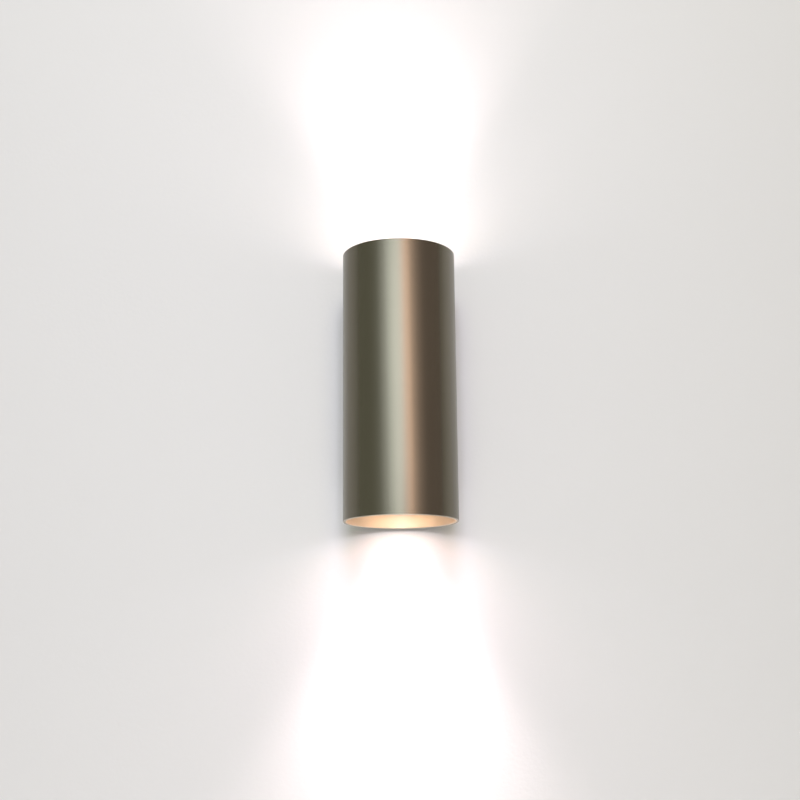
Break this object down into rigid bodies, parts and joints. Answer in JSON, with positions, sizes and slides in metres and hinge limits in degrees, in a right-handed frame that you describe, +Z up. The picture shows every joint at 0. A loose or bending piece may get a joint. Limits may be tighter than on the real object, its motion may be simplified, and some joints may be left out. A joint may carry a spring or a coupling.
{
  "type": "wall light",
  "caption": "Slim round tube wall light, open at top and bottom, lit up and down by twist-lock bulbs, held off the wall by a back saddle on a screwed wall bracket.",
  "frame": {"origin": "middle of the wall bracket's back face, on the wall plane, at the centre of its four wall holes", "axes": "+Z up along the tube, +Y into the wall, the tube stands towards -Y, +X to the right seen from the room"},
  "size_m": [0.075, 0.079, 0.18],
  "materials": {
    "bronze_tube": "satin bronze anodised, fine brushed grain round the tube",
    "dark_bronze_paint": "fine satin powder coat in dark bronze",
    "zinc_plate": "zinc-plated sheet, dull",
    "black_rubber": "matt",
    "dark_screws": "blackened bronze, satin",
    "plated_screws": "bright zinc plate",
    "plated_pins": "nickel plate",
    "white_nylon": "moulded nylon",
    "white_ceramic": "unglazed steatite",
    "brass_contacts": "bright stamped brass",
    "tinned_copper": "tin plate over copper",
    "earth_insulation": "silicone sleeve, green with a yellow stripe",
    "live_insulation": "brown silicone sleeve",
    "neutral_insulation": "blue silicone sleeve",
    "bulb_white": "satin white thermoplastic",
    "bulb_lens": "frosted, lit warm white",
    "board_white": "white solder mask on an aluminium board",
    "driver_green": "circuit board with dark sleeved parts"
  },
  "bodies": {
    "fixture": {"outer_tube": "bronze_tube", "rear_saddle": "dark_bronze_paint", "wall_bracket": "zinc_plate", "cable_grommet": "black_rubber", "side_screws": "dark_screws", "tube_screws": "plated_screws", "clinch_nuts": "plated_screws", "centre_bracket": "zinc_plate", "terminal_block": "white_nylon", "terminal_inserts": "brass_contacts", "terminal_screws": "plated_screws", "block_screws": "plated_screws", "holder_screws": "plated_screws", "holder_nuts": "plated_screws", "earth_screw": "plated_screws", "earth_washer": "plated_screws", "earth_ring_terminal": "tinned_copper", "earth_lead": "earth_insulation", "upper_live_lead": "live_insulation", "lower_live_lead": "live_insulation", "upper_neutral_lead": "neutral_insulation", "lower_neutral_lead": "neutral_insulation", "upper_holder_plate": "zinc_plate", "upper_lampholder": "white_ceramic", "upper_contacts": "brass_contacts", "lower_holder_plate": "zinc_plate", "lower_lampholder": "white_ceramic", "lower_contacts": "brass_contacts"},
    "upper_bulb": {"upper_bulb_housing": "bulb_white", "upper_bulb_lens": "bulb_lens", "upper_bulb_board": "board_white", "upper_bulb_base": "bulb_white", "upper_bulb_pins": "plated_pins", "upper_bulb_driver": "driver_green"},
    "lower_bulb": {"lower_bulb_housing": "bulb_white", "lower_bulb_lens": "bulb_lens", "lower_bulb_board": "board_white", "lower_bulb_base": "bulb_white", "lower_bulb_pins": "plated_pins", "lower_bulb_driver": "driver_green"}
  },
  "joints": [
    {"name": "upper_bulb_twist", "type": "hinge", "parent": "fixture", "child": "upper_bulb", "pos_m": [0, -0.0415, 0.078], "axis": [0, 0, 1], "range_deg": [0, 25]},
    {"name": "lower_bulb_twist", "type": "hinge", "parent": "fixture", "child": "lower_bulb", "pos_m": [0, -0.0415, -0.078], "axis": [0, 0, -1], "range_deg": [0, 25]}
  ]
}
